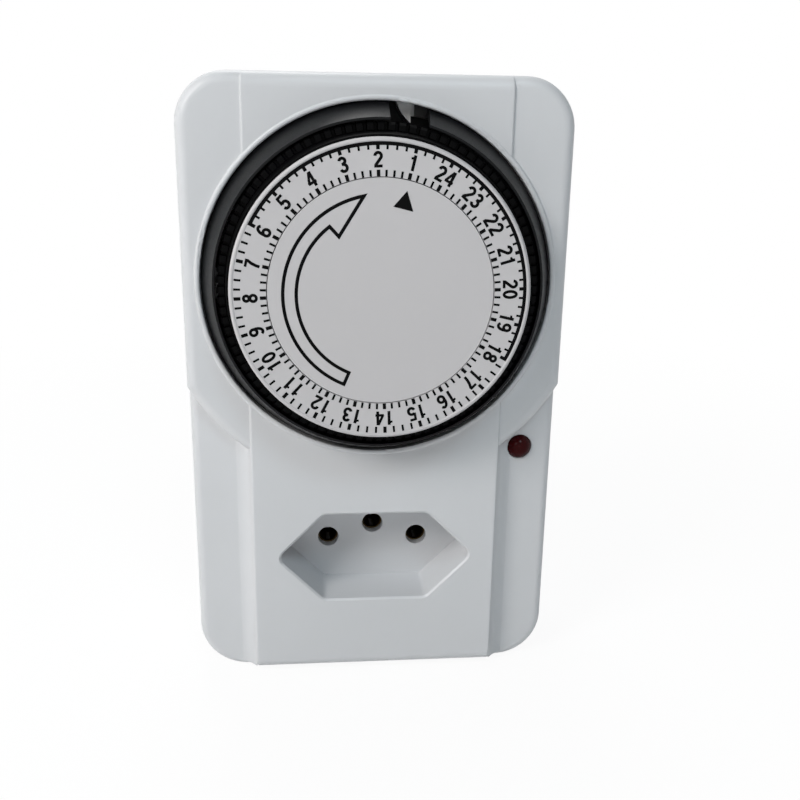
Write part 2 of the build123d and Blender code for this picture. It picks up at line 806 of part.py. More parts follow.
def dial_collar():
    """Black cone round the tappets with its flange behind the front wall and the follower's window."""
    back = ceiling_depth + collar_flange_thickness
    collar = turned([
        (collar_bore_top_radius, collar_top_depth), (collar_top_radius, collar_top_depth),
        (collar_radius, collar_foot_depth), (collar_radius, ceiling_depth),
        (collar_flange_radius, ceiling_depth), (collar_flange_radius, back),
        (collar_bore_foot_radius, back), (collar_bore_foot_radius, collar_foot_depth),
    ], dial_place)
    reach = 2 * collar_flange_radius
    edges = [90 - window_start_angle, 90 - window_end_angle]
    corners = [dial_place] + [step_from(dial_place, reach, angle) for angle in edges]
    window = make_face(Polyline(*corners, close=True))
    return collar - slab(window, collar_top_depth - overrun, back + overrun)


def movement_plate():
    """Plate behind the dial with its post, holes for the arbors and seats for lever and switch."""
    pads = [disc(place, plate_pad_radius) for place in plate_post_places + [lever_place]]
    switch_end = switch_x + switch_length / 2 - plate_corner_pad_radius
    for z in (tail_place[1], switch_mid_z - switch_height / 2):
        pads.append(disc((switch_end, z), plate_corner_pad_radius))
    edges = [edge for pad in pads for edge in pad.edges()]
    outline = make_hull(edges)
    outline = outline - discs(case_boss_places, case_boss_radius + overrun)
    notch_width = 2 * (body_width / 2 - slider_foot_x + slider_lip + rest_gap)
    notch_length = slider_flange_length + slider_travel + 2 * overrun
    notch = Rectangle(notch_width, notch_length)
    outline = outline - Pos(body_width / 2, slider_height + slider_travel / 2) * notch
    plate = slab(outline, plate_depth, plate_back_depth)
    plate = plate + turned([
        (0, plate_back_depth), (0, centre_boss_depth), (post_radius, centre_boss_depth),
        (post_radius, hub_bottom_depth + rest_gap), (post_foot_radius, hub_bottom_depth + rest_gap),
        (post_foot_radius, plate_back_depth),
    ], dial_place)
    bore_end = centre_boss_depth + post_bore_depth
    plate = plate - slab(disc(dial_place, stem_radius + stem_gap), centre_boss_depth, bore_end)
    holes = discs([first_place, second_place], arbor_radius) + disc(lever_place, lever_pin_radius)
    holes = holes + disc(motor_shaft_place, motor_bush_radius + motor_bush_gap)
    holes = holes + discs(plate_post_places, plate_screw_radius + case_screw_gap)
    holes = holes + discs(motor_ear_places, motor_screw_radius)
    holes = holes + discs(switch_screw_places, switch_screw_radius)
    slot_width = 2 * (tail_radius + tail_slot_play)
    slot_mid = tail_place[1] - tail_drop / 2
    holes = holes + Pos(tail_x, slot_mid) * Rectangle(slot_width, slot_width + tail_drop)
    return plate - slab(holes, plate_depth - overrun, plate_back_depth + overrun)


def motor_case():
    """Sealed motor and gearbox with two ears and the bush of its output shaft."""
    gearbox_back = plate_back_depth + motor_gearbox_depth
    motor = turned([
        (0, plate_back_depth), (motor_radius, plate_back_depth), (motor_radius, gearbox_back),
        (motor_can_radius, gearbox_back), (motor_can_radius, gearbox_back + motor_can_depth),
        (0, gearbox_back + motor_can_depth),
    ], motor_place)
    ears = discs(motor_ear_places, motor_ear_radius)
    ears = ears + Pos(*motor_place) * Rectangle(2 * motor_ear_reach, 2 * motor_ear_radius)
    motor = motor + slab(ears, plate_back_depth, plate_back_depth + motor_ear_thickness)
    bush_front = plate_back_depth - motor_bush_length
    motor = motor + slab(disc(motor_shaft_place, motor_bush_radius), bush_front, gearbox_back)
    bore = disc(motor_shaft_place, motor_shaft_radius + motor_shaft_clearance)
    motor = motor - slab(bore, bush_front - overrun, plate_back_depth + motor_shaft_socket + rest_gap)
    ear_holes = discs(motor_ear_places, motor_screw_radius)
    return motor - slab(ear_holes, plate_depth, gearbox_back)


def motor_pinion():
    """Output shaft of the motor with its pinion, in mesh with the first wheel."""
    gear = Pos(*motor_shaft_place) * outer_gear(pinion_teeth, motor_arbor_angle + 180 + 180 / pinion_teeth)
    pinion = slab(gear, first_wheel_depth, first_wheel_depth + wheel_thickness)
    shaft = disc(motor_shaft_place, motor_shaft_radius)
    return pinion + slab(shaft, first_wheel_depth, plate_back_depth + motor_shaft_socket)


def train_wheel(place, wheel_depth, wheel_angle, pinion_front, pinion_angle):
    """Wheel with its pinion in front and a plain hub behind, free to turn on an arbor."""
    wheel_back = wheel_depth + wheel_thickness
    wheel = slab(Pos(*place) * outer_gear(wheel_teeth, wheel_angle), wheel_depth, wheel_back)
    wheel = wheel + slab(Pos(*place) * outer_gear(pinion_teeth, pinion_angle), pinion_front, wheel_depth)
    wheel = wheel + slab(disc(place, wheel_hub_radius), wheel_depth, plate_depth - rest_gap)
    bore = disc(place, arbor_radius + arbor_clearance)
    return wheel - slab(bore, pinion_front - overrun, plate_depth)


def second_wheel():
    """Wheel whose pinion drives the dial's ring gear."""
    return train_wheel(second_place, second_wheel_depth, first_arbor_angle,
                       second_pinion_depth, second_arbor_angle)


def first_wheel():
    """Wheel between the motor's pinion and the second wheel."""
    pinion_angle = first_arbor_angle + 180 + 180 / pinion_teeth
    return train_wheel(first_place, first_wheel_depth, motor_arbor_angle, second_wheel_depth, pinion_angle)


def wheel_arbors():
    """Headed steel arbors fixed in the plate."""
    arbors = []
    for place, front in ((second_place, second_pinion_depth), (first_place, second_wheel_depth)):
        head_back = front - rest_gap
        arbors.append(turned([
            (0, head_back - arbor_head_height), (arbor_head_radius, head_back - arbor_head_height),
            (arbor_head_radius, head_back), (arbor_radius, head_back), (arbor_radius, plate_back_depth),
            (0, plate_back_depth),
        ], place))
    return Compound(children=arbors)


def arm(start, end, width):
    """Straight bar sketch between two places."""
    length = math.dist(start, end)
    angle = math.degrees(math.atan2(end[1] - start[1], end[0] - start[0]))
    middle = ((start[0] + end[0]) / 2, (start[1] + end[1]) / 2)
    return Pos(*middle) * Rot(0, 0, angle) * Rectangle(length, width)


def follower_lever():
    """White lever: ramped nose in the collar's window, hub on its pivot and a tail to the switch."""
    back = lever_depth + lever_thickness
    nose_x, top = nose_top
    shoulder = top - nose_shoulder
    ramp_start = (nose_x - nose_width, shoulder)
    ramp_radius = top - nose_tip[1] + nose_width
    lines = Curve() + [
        Polyline(nose_tip, nose_top, (nose_x - nose_width, top), ramp_start),
        RadiusArc(ramp_start, nose_tip, -ramp_radius),
    ]
    nose = slab(make_face(lines), nose_depth, back)
    root = (nose_x - nose_width / 2, shoulder - lever_arm_width / 2)
    bars = arm(root, lever_place, lever_arm_width) + arm(lever_place, tail_place, lever_arm_width)
    bars = bars + disc(lever_place, lever_hub_radius) + disc(tail_place, tail_radius)
    lever = nose + slab(bars, lever_depth, back)
    lever = lever + slab(disc(tail_place, tail_radius), lever_depth, plate_back_depth + switch_thickness)
    bore = disc(lever_place, lever_pin_radius + lever_pin_clearance)
    return lever - slab(bore, nose_depth, back + overrun)


def lever_pivot():
    """Headed pin fixed in the plate that the lever turns on."""
    head_back = lever_depth - rest_gap
    lever_back = lever_depth + lever_thickness + rest_gap
    return turned([
        (0, head_back - arbor_head_height), (arbor_head_radius, head_back - arbor_head_height),
        (arbor_head_radius, head_back), (lever_pin_radius, head_back), (lever_pin_radius, lever_back),
        (arbor_head_radius, lever_back), (arbor_head_radius, plate_depth), (lever_pin_radius, plate_depth),
        (lever_pin_radius, plate_back_depth), (0, plate_back_depth),
    ], lever_place)


def switch_case():
    """Case of the snap switch, screwed to the back of the plate."""
    outline = Pos(switch_x, switch_mid_z) * RectangleRounded(switch_length, switch_height, switch_edge_radius)
    case = slab(outline, plate_back_depth, plate_back_depth + switch_thickness)
    holes = discs(switch_screw_places, switch_screw_radius)
    case = case - slab(holes, plate_back_depth - overrun, plate_back_depth + switch_thickness + overrun)
    well_width = plunger_width + 2 * plunger_clearance
    well_thickness = plunger_thickness + 2 * plunger_clearance
    well = Box(well_width, well_thickness, 2 * plunger_depth_inside)
    return case - Pos(tail_x, front_y + switch_mid_depth, switch_top_z) * well


def switch_plunger():
    """Button of the snap switch, under the lever's tail."""
    inside = plunger_depth_inside / 2
    button = Box(plunger_width, plunger_thickness, plunger_height + inside)
    mid = switch_top_z + (plunger_height - inside) / 2
    return Pos(tail_x, front_y + switch_mid_depth, mid) * button


def switch_terminals():
    """Two tabs under the snap switch."""
    top = switch_mid_z - switch_height / 2
    near = switch_mid_depth - terminal_thickness / 2
    far = switch_mid_depth + terminal_thickness / 2
    outline = [(near, top), (far, top), (far, top - terminal_length), (near, top - terminal_length)]
    return Compound(children=[side_strip(outline, x, terminal_width) for x in (feed_bar_x, return_bar_x)])


def override_slider():
    """Side slider for timed or always on, its ribbed knob through the wall."""
    inner = body_width / 2 - wall - slider_gap
    flange = Box(slider_flange_thickness, slider_flange_width, slider_flange_length)
    flange = Pos(inner - slider_flange_thickness / 2, 0, 0) * flange
    outer = body_width / 2 + slider_knob_proud
    knob = Box(outer - inner, slider_knob_width, slider_knob_length)
    slider = flange + Pos((outer + inner) / 2, 0, 0) * knob
    spacing = slider_knob_length / (slider_groove_count + 1)
    groove = Box(2 * slider_groove, 2 * slider_knob_width, slider_groove)
    for index in range(slider_groove_count):
        z = (index + 1) * spacing - slider_knob_length / 2
        slider = slider - Pos(outer, 0, z) * groove
    return Pos(0, front_y + slider_mid_depth, slider_height) * slider


def indicator_lens():
    """Red lens: dome outside, hollow barrel through the wall and a flange behind it."""
    tip = lens_seat_depth - lens_dome_height
    sphere = (lens_radius ** 2 + lens_dome_height ** 2) / (2 * lens_dome_height)
    seat = front_y + lens_seat_depth
    flange_front = front_y + shoulder_ceiling_depth
    flange_back = flange_front + lens_flange_height
    bore_end = flange_back - lens_bore_depth
    lines = Curve() + [
        RadiusArc((0, front_y + tip), (lens_radius, seat), -sphere),
        Polyline(
            (lens_radius, seat), (lens_radius, flange_front), (lens_flange_radius, flange_front),
            (lens_flange_radius, flange_back), (lens_bore_radius, flange_back),
            (lens_bore_radius, bore_end), (0, bore_end), (0, front_y + tip),
        ),
    ]
    return Pos(lens_x, 0, lens_height) * revolve(make_face(lines), axis=Axis.Y)


def indicator_lamp():
    """Lamp on its board, in the lens's barrel."""
    flange = board_front_depth - lamp_flange_height
    tip = board_front_depth - lamp_length
    return turned([
        (0, tip), (lamp_radius / 2, tip), (lamp_radius, tip + lamp_radius / 2), (lamp_radius, flange),
        (lamp_flange_radius, flange), (lamp_flange_radius, board_front_depth), (0, board_front_depth),
    ], (lens_x, lens_height))


def indicator_board():
    """Small board staked to two posts of the front shell."""
    outline = Pos(lens_x, board_mid_z) * Rectangle(board_width, board_height)
    outline = outline - discs(board_post_places, board_stake_radius + board_stake_gap)
    return slab(outline, board_front_depth, board_front_depth + board_thickness)


def all_parts():
    """Every piece under the name of its node."""
    plate_seat = plate_back_depth
    parts = {
        "front_housing": front_housing(),
        "rear_cover": rear_cover(),
        "case_screws": screws(case_boss_places, case_screw_radius, case_head_radius, case_head_height,
                              body_depth - case_counterbore_depth, case_screw_length),
        "dial_collar": dial_collar(),
        "tappet_carrier": tappet_carrier(),
        "dial_ring": dial_ring(),
        "centre_disc": centre_disc(),
        "movement_plate": movement_plate(),
        "movement_screws": screws(plate_post_places, plate_screw_radius, plate_head_radius,
                                  plate_head_height, plate_seat, plate_screw_length),
        "motor_case": motor_case(),
        "motor_screws": screws(motor_ear_places, motor_screw_radius, motor_head_radius, motor_head_height,
                               plate_seat + motor_ear_thickness, motor_ear_thickness + plate_thickness),
        "motor_pinion": motor_pinion(),
        "first_wheel": first_wheel(),
        "second_wheel": second_wheel(),
        "wheel_arbors": wheel_arbors(),
        "follower_lever": follower_lever(),
        "lever_pivot": lever_pivot(),
        "switch_case": switch_case(),
        "switch_plunger": switch_plunger(),
        "switch_terminals": switch_terminals(),
        "switch_screws": screws(switch_screw_places, switch_screw_radius, switch_head_radius,
                                switch_head_height, plate_seat + switch_thickness,
                                switch_thickness + plate_thickness),
        "override_slider": override_slider(),
        "indicator_lens": indicator_lens(),
        "indicator_lamp": indicator_lamp(),
        "indicator_board": indicator_board(),
        "neutral_strap": through_strap(pole_places["neutral"]),
        "earth_strap": through_strap(pole_places["earth"]),
        "line_feed_bar": switch_bar(feed_bar_x, pin_head_depth - strap_thickness),
        "line_return_bar": switch_bar(return_bar_x, contact_back_depth),
    }
    for pole, place in pole_places.items():
        parts[pole + "_pin"] = plug_pin(place)
        parts[pole + "_contact"] = socket_contact(place)
    for hour in range(hours):
        parts["tappets_hour_%02d" % (hour + 1)] = hour_tappets(hour)
    return parts


os.makedirs("parts", exist_ok=True)
for name, shape in all_parts().items():
    export_step(shape, "parts/" + name + ".step")
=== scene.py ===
import json
import math

import bmesh
import bpy
from mathutils import Matrix, Vector
from mathutils.geometry import delaunay_2d_cdt


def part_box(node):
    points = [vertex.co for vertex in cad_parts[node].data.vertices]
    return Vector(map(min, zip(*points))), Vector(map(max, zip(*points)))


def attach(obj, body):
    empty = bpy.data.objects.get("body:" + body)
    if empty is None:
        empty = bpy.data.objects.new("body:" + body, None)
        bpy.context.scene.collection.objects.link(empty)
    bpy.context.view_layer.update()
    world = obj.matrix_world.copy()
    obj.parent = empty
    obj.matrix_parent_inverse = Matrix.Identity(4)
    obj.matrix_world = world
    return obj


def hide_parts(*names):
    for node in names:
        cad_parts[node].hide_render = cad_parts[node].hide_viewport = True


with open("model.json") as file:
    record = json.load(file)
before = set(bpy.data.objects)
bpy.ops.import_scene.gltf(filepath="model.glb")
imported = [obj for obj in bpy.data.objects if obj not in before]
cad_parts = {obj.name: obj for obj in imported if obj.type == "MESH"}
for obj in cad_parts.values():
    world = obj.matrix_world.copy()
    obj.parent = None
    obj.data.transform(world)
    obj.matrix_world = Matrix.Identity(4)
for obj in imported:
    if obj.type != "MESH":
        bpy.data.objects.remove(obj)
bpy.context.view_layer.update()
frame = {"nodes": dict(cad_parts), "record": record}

MM = 0.001

# Places that repeat the CAD, in millimetres: the dial's axis and printed face,
# the end of the lever's nose and the underside of the body
DIAL_Z = 56.6
FACE_Y = -58.68
NOSE_END_X = 6.8
FLOOR_Z = -26.5

# How far the print stands out of the dial's face and reaches into it
PRINT_PROUD = 0.012
PRINT_ROOT = 0.010

# Dial marks: radii from the dial's axis in millimetres, angles clockwise from the top
HOURS = 24
QUARTERS = 4
MIDNIGHT_ANGLE = 28.0
INNER_TICK = (20.47, 21.58)
OUTER_TICK = (24.98, 26.20)
TICK_WIDTH = 0.40
HOUR_TICK_WIDTH = 0.62
NIGHT_ARC = (25.68, 26.32)
NIGHT_LAP = 0.04
NIGHT_HOURS = (18, 30)
NIGHT_STEPS = 120

# Hour numbers: base radius and height in millimetres, the rest in shares of the height
NUMBER_BASE = 21.98
NUMBER_HEIGHT = 2.70
NUMBER_STROKE = 0.198
NUMBER_WIDTH = 0.59
NUMBER_ADVANCE = 0.70
CLOSED_GAP = 0.001
MERGE_GAP = 0.00001

# Pen strokes: points of an arc and of a whole ellipse, and the sharpest mitre as a cosine
ARC_STEPS = 20
RING_STEPS = 36
MITRE_COSINE = 0.35

# Arrow and index triangle on the centre disc, as radii and angles
ARROW_STROKE = 0.62
ARROW_SHIFT = (0.25, -0.35)
ARROW_OUTER = 17.80
ARROW_INNER = 15.42
ARROW_TAIL = -156.8
ARROW_TIP = (17.80, -11.3)
ARROW_BARB = (13.05, -36.9)
ARROW_NOTCH = -37.8
ARROW_STEPS = 72
TRIANGLE = ((18.55, 13.4), (15.45, 20.6), (15.45, 7.0))

# Case screws with a tapered cross in the head, each turned as it came to rest
SCREW_HEAD_RADIUS = 2.8
SCREW_HEAD_HEIGHT = 2.0
SCREW_HEAD_BEVEL = 0.35
SCREW_BEVEL_BULGE = 0.3
SCREW_RADIUS = 1.5
SCREW_POINT_RADIUS = 0.5
SCREW_POINT_LENGTH = 1.6
SCREW_TURNS = (12.0, 57.0, 33.0, 76.0)
CROSS_LENGTH = 3.4
CROSS_WIDTH = 0.8
CROSS_DEPTH = 1.3
CROSS_TAPER = 0.62
NEARLY_ZERO = 1e-9

# Materials: sizes of the slow changes of tone in millimetres, the spread of the
# roughness round its middle, and the height of the relief as a share of the grain
DRIFT_MM = 22.0
TARNISH_MM = 4.0
PLASTIC_GLOSS = (0.88, 1.12)
METAL_GLOSS = (0.75, 1.3)
PLASTIC_RELIEF = 0.12
METAL_RELIEF = 0.1
COAT_ROUGHNESS = 0.06
WHITE = (0.570, 0.576, 0.592)
DIAL = (0.497, 0.482, 0.490)
NOSE_WHITE = (0.92, 0.92, 0.91)
# Painted shade: the lever's arm is white plastic, coloured near black where it lies in shade
# behind the collar's window
ARM_PAINTED_SHADE = (0.010, 0.010, 0.011)
NOSE_BLEND_MM = 0.1
WEAVE_MM = 0.45
WEAVE_DARK = (0.030, 0.150, 0.055)
WEAVE_LIGHT = (0.040, 0.180, 0.068)
SMOOTH_BELOW = 24.0

# Light: the world's fill from the left, the right and behind, then the lamps as
# degrees to the right of the front, degrees up, size in metres, watts and colour
FILL_COLOUR = (0.9, 0.96, 1.0)
FILL_LEFT = 0.11
FILL_RIGHT = 0.05
FILL_SIDE_REACH = 0.9
FILL_BEHIND = 1.1
FILL_BEHIND_RANGE = (0.3, 0.9)
LAMP_DISTANCE = 0.9
LAMP_AIM = (0.0, -0.045, 0.035)
WARM = (1.0, 0.98, 0.955)
COOL = (0.77, 0.925, 1.0)
PLAIN = (1.0, 0.99, 0.975)
LAMPS = {
    "key": (-50, 34, 0.30, 5.5, WARM),
    "top": (15, 51, 0.18, 1.78, COOL),
    "front": (-4, 8, 0.25, 0.22, WARM),
    "left": (-86, 14, 0.30, 0.8, WARM),
    "rear": (-170, 58, 0.30, 2.2, PLAIN),
}

# Floor, in metres: half its width, where its shadow fades, and how white it is near the body
FLOOR_HALF = 4.0
FLOOR_FADE = (0.06, 0.30)
FLOOR_NEAR_WHITE = 0.93
FLOOR_PAINT = (0.90, 0.90, 0.90)

# Camera, from the fitted view of the photograph, in millimetres and degrees
CAMERA_PLACE = (-12.332, -223.726, 86.26)
CAMERA_YAW = 5.52
CAMERA_PITCH = 16.62
CAMERA_ROLL = -0.94
CAMERA_LENS = 42.064
CAMERA_SENSOR = 36.0
CAMERA_NEAR = 0.01


def new_object(name, data):
    """Object in the scene for a mesh, a lamp or a camera."""
    thing = bpy.data.objects.new(name, data)
    bpy.context.scene.collection.objects.link(thing)
    return thing


def new_material(name, shader_kind="ShaderNodeBsdfPrincipled"):
    """Material with one shader on its output, and that material's node tree."""
    material = bpy.data.materials.new(name)
    material.use_nodes = True
    tree = material.node_tree
    tree.nodes.clear()
    output = tree.nodes.new("ShaderNodeOutputMaterial")
    shader = tree.nodes.new(shader_kind)
    tree.links.new(shader.outputs[0], output.inputs["Surface"])
    return material, tree, shader


def noise(tree, size_mm, detail=3.0, roughness=0.5, stretch=None):
    """Noise in the object's own space, its features about a size in millimetres."""
    source = tree.nodes.new("ShaderNodeTexCoord").outputs["Object"]
    texture = tree.nodes.new("ShaderNodeTexNoise")
    texture.inputs["Scale"].default_value = 1.0 / (size_mm * MM)
    texture.inputs["Detail"].default_value = detail
    texture.inputs["Roughness"].default_value = roughness
    if stretch:
        mapping = tree.nodes.new("ShaderNodeMapping")
        mapping.inputs["Scale"].default_value = stretch
        tree.links.new(source, mapping.inputs["Vector"])
        source = mapping.outputs["Vector"]
    tree.links.new(source, texture.inputs["Vector"])
    return texture.outputs["Fac"]


def spread(tree, source, low, high, start=0.3, end=0.7):
    """Map a number from one range to another."""
    node = tree.nodes.new("ShaderNodeMapRange")
    node.inputs["From Min"].default_value = start
    node.inputs["From Max"].default_value = end
    node.inputs["To Min"].default_value = low
    node.inputs["To Max"].default_value = high
    tree.links.new(source, node.inputs["Value"])
    return node.outputs["Result"]


def tones(tree, source, first, second, start=0.35, end=0.65):
    """Blend two colours by a number."""
    ramp = tree.nodes.new("ShaderNodeValToRGB")
    ramp.color_ramp.elements[0].position = start
    ramp.color_ramp.elements[0].color = (*first, 1)
    ramp.color_ramp.elements[1].position = end
    ramp.color_ramp.elements[1].color = (*second, 1)
    tree.links.new(source, ramp.inputs["Fac"])
    return ramp.outputs["Color"]


def bump(tree, shader, source, strength, height_mm, edge_mm=0.0):
    """Fine relief from a noise, over edges softened by a small radius."""
    node = tree.nodes.new("ShaderNodeBump")
    node.inputs["Strength"].default_value = strength
    node.inputs["Distance"].default_value = height_mm * MM
    tree.links.new(source, node.inputs["Height"])
    if edge_mm:
        soft = tree.nodes.new("ShaderNodeBevel")
        soft.samples = 4
        soft.inputs["Radius"].default_value = edge_mm * MM
        tree.links.new(soft.outputs["Normal"], node.inputs["Normal"])
    tree.links.new(node.outputs["Normal"], shader.inputs["Normal"])


def plastic(name, colour, vary, rough, specular, grain_mm, relief, edge_mm=0.0, coat=0.0):
    """Moulded plastic: a slow drift of tone, a fine grain in the gloss and the surface."""
    material, tree, shader = new_material(name)
    drift = noise(tree, DRIFT_MM, detail=2.0)
    darker = tuple(c * (1.0 - vary) for c in colour)
    lighter = tuple(min(c * (1.0 + vary), 1.0) for c in colour)
    tree.links.new(tones(tree, drift, darker, lighter), shader.inputs["Base Color"])
    grain = noise(tree, grain_mm, detail=2.0, roughness=0.6)
    gloss = spread(tree, grain, *[rough * share for share in PLASTIC_GLOSS])
    tree.links.new(gloss, shader.inputs["Roughness"])
    shader.inputs["Specular IOR Level"].default_value = specular
    if coat:
        shader.inputs["Coat Weight"].default_value = coat
        shader.inputs["Coat Roughness"].default_value = COAT_ROUGHNESS
    bump(tree, shader, grain, relief, grain_mm * PLASTIC_RELIEF, edge_mm)
    return material


def lever_plastic(name):
    """White moulded nose; past the nose's end the white lever is coloured near black as painted
    shade, for the shade it lies in.
    """
    material, tree, shader = new_material(name)
    place = tree.nodes.new("ShaderNodeTexCoord")
    parts = tree.nodes.new("ShaderNodeSeparateXYZ")
    tree.links.new(place.outputs["Object"], parts.inputs["Vector"])
    ends = [(NOSE_END_X + step) * MM for step in (-NOSE_BLEND_MM, NOSE_BLEND_MM)]
    side = spread(tree, parts.outputs["X"], 0.0, 1.0, *ends)
    # The arm's near black is painted shade, not the lever's own colour
    tree.links.new(tones(tree, side, NOSE_WHITE, ARM_PAINTED_SHADE), shader.inputs["Base Color"])
    grain = noise(tree, size_mm=0.3, detail=2.0, roughness=0.6)
    tree.links.new(spread(tree, grain, low=0.32, high=0.42), shader.inputs["Roughness"])
    shader.inputs["Specular IOR Level"].default_value = 0.2
    bump(tree, shader, grain, strength=0.05, height_mm=0.03)
    return material


def metal(name, colour, tarnish, rough, stretch, streak_mm):
    """Worked metal: streaks along its working direction and a little tarnish."""
    material, tree, shader = new_material(name)
    cloud = noise(tree, TARNISH_MM, detail=4.0, roughness=0.6)
    tone = tones(tree, cloud, tarnish, colour, start=0.30, end=0.55)
    tree.links.new(tone, shader.inputs["Base Color"])
    streaks = noise(tree, streak_mm, detail=3.0, stretch=stretch)
    gloss = spread(tree, streaks, *[rough * share for share in METAL_GLOSS])
    tree.links.new(gloss, shader.inputs["Roughness"])
    shader.inputs["Metallic"].default_value = 1.0
    bump(tree, shader, streaks, strength=0.08, height_mm=streak_mm * METAL_RELIEF)
    return material


def board_mask(name):
    """Green solder mask with a faint weave under it."""
    material, tree, shader = new_material(name)
    place = tree.nodes.new("ShaderNodeTexCoord")
    weave = tree.nodes.new("ShaderNodeTexChecker")
    weave.inputs["Scale"].default_value = 1.0 / (WEAVE_MM * MM)
    weave.inputs["Color1"].default_value = (*WEAVE_DARK, 1)
    weave.inputs["Color2"].default_value = (*WEAVE_LIGHT, 1)
    tree.links.new(place.outputs["Object"], weave.inputs["Vector"])
    tree.links.new(weave.outputs["Color"], shader.inputs["Base Color"])
    film = noise(tree, size_mm=1.2)
    tree.links.new(spread(tree, film, low=0.28, high=0.42), shader.inputs["Roughness"])
    bump(tree, shader, film, strength=0.05, height_mm=0.05)
    return material


# Plastics: colour, drift of tone, roughness, specular level, grain in millimetres, relief
PLASTICS = {
    "dial_white": (DIAL, 0.008, 0.38, 0.40, 0.40, 0.05),
    "housing_white": (WHITE, 0.010, 0.42, 0.42, 0.30, 0.10),
    "collar_black": ((0.0040, 0.0043, 0.0050), 0.06, 0.40, 0.12, 0.25, 0.04),
    "tappet_black": ((0.0011, 0.0011, 0.0013), 0.08, 0.48, 0.045, 0.20, 0.10),
    "slider_black": ((0.012, 0.012, 0.013), 0.06, 0.45, 0.30, 0.25, 0.12),
    "movement_grey": ((0.020, 0.021, 0.023), 0.05, 0.50, 0.20, 0.30, 0.15),
    "gear_natural": ((0.56, 0.53, 0.45), 0.02, 0.36, 0.45, 0.25, 0.05),
    "switch_black": ((0.010, 0.010, 0.010), 0.08, 0.40, 0.40, 0.20, 0.15),
    "plunger_red": ((0.27, 0.012, 0.010), 0.04, 0.38, 0.45, 0.20, 0.08),
    "lens_red": ((0.034, 0.0015, 0.0020), 0.10, 0.12, 0.06, 0.60, 0.02),
    "lamp_red": ((0.20, 0.006, 0.006), 0.06, 0.14, 0.50, 0.60, 0.02),
    "print_ink": ((0.0016, 0.0016, 0.0018), 0.10, 0.45, 0.05, 0.20, 0.05),
}
SOFT_EDGES_MM = {
    "housing_white": 0.25,
    "dial_white": 0.15,
    "collar_black": 0.15,
    "slider_black": 0.12,
}
COATS = {"lamp_red": 0.6}

# Metals: colour, tarnish, roughness, stretch of the streaks and their size in millimetres
METALS = {
    "motor_zinc": ((0.44, 0.45, 0.46), (0.36, 0.37, 0.38), 0.34, (1, 1, 1), 0.8),
    "screw_steel": ((0.50, 0.50, 0.51), (0.40, 0.40, 0.41), 0.30, (1, 0.2, 1), 0.25),
    "arbor_steel": ((0.55, 0.55, 0.57), (0.46, 0.46, 0.48), 0.18, (1, 6, 1), 0.3),
    # contact_brass is darkened far below brass, colour and tarnish alike: painted shade for the
    # dark inside of the socket holes
    "contact_brass": ((0.09, 0.060, 0.024), (0.04, 0.026, 0.011), 0.45, (1, 1, 0.2), 0.3),
    "pin_nickel": ((0.63, 0.60, 0.55), (0.52, 0.49, 0.44), 0.20, (1, 8, 1), 0.25),
}

materials = {
    "lever_white": lever_plastic("lever_white"),
    "board_green": board_mask("board_green"),
}
for name, values in PLASTICS.items():
    edge_mm = SOFT_EDGES_MM.get(name, 0.0)
    materials[name] = plastic(name, *values, edge_mm=edge_mm, coat=COATS.get(name, 0.0))
for name, values in METALS.items():
    materials[name] = metal(name, *values)


def smooth_group():
    """Node group that shades smooth across shallow edges and leaves real corners sharp."""
    group = bpy.data.node_groups.new("smooth_by_angle", "GeometryNodeTree")
    for way in ("INPUT", "OUTPUT"):
        group.interface.new_socket("Geometry", in_out=way, socket_type="NodeSocketGeometry")
    start = group.nodes.new("NodeGroupInput")
    end = group.nodes.new("NodeGroupOutput")
    angle = group.nodes.new("GeometryNodeInputMeshEdgeAngle")
    shallow = group.nodes.new("FunctionNodeCompare")
    shallow.data_type = "FLOAT"
    shallow.operation = "LESS_THAN"
    shallow.inputs["B"].default_value = math.radians(SMOOTH_BELOW)
    faces = group.nodes.new("GeometryNodeSetShadeSmooth")
    faces.domain = "FACE"
    edges = group.nodes.new("GeometryNodeSetShadeSmooth")
    edges.domain = "EDGE"
    group.links.new(angle.outputs["Unsigned Angle"], shallow.inputs["A"])
    group.links.new(start.outputs[0], faces.inputs["Geometry"])
    group.links.new(faces.outputs["Geometry"], edges.inputs["Geometry"])
    group.links.new(shallow.outputs["Result"], edges.inputs["Shade Smooth"])
    group.links.new(edges.outputs["Geometry"], end.inputs[0])
    return group


smoothing = smooth_group()


def shade_smooth(thing):
    """Smooth shading by angle, which leaves the shape as it is."""
    thing.modifiers.new("smooth_by_angle", "NODES").node_group = smoothing


slots = {row["node"]: row["material_slot"] for row in frame["record"]["subparts"]}
for node, thing in frame["nodes"].items():
    material = materials[slots[node]]
    if not thing.material_slots:
        thing.data.materials.append(material)
    for place in thing.material_slots:
        place.material = material
    shade_smooth(thing)


def new_piece(name, mesh, material, body):
    """Object of a closed mesh that moves with a body."""
    bmesh.ops.recalc_face_normals(mesh, faces=mesh.faces)
    data = bpy.data.meshes.new(name)
    mesh.to_mesh(data)
    mesh.free()
    data.materials.append(materials[material])
    piece = new_object(name, data)
    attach(piece, body)
    return piece


def dial_point(radius, angle):
    """Point of the dial's plane in millimetres; the angle is clockwise from the top."""
    turn = math.radians(angle)
    return (radius * math.sin(turn), DIAL_Z + radius * math.cos(turn))


def face_lines(mesh, line):
    """A line of points at the print's root and again at its top."""
    depths = (FACE_Y + PRINT_ROOT, FACE_Y - PRINT_PROUD)
    return [[mesh.verts.new(Vector((x, y, z)) * MM) for x, z in line] for y in depths]


def add_prism(mesh, points):
    """Thin closed plate with an outline of points, on the dial's face."""
    back, front = face_lines(mesh, points)
    mesh.faces.new(front)
    mesh.faces.new(list(reversed(back)))
    count = len(points)
    for index in range(count):
        after = (index + 1) % count
        mesh.faces.new((front[index], back[index], back[after], front[after]))


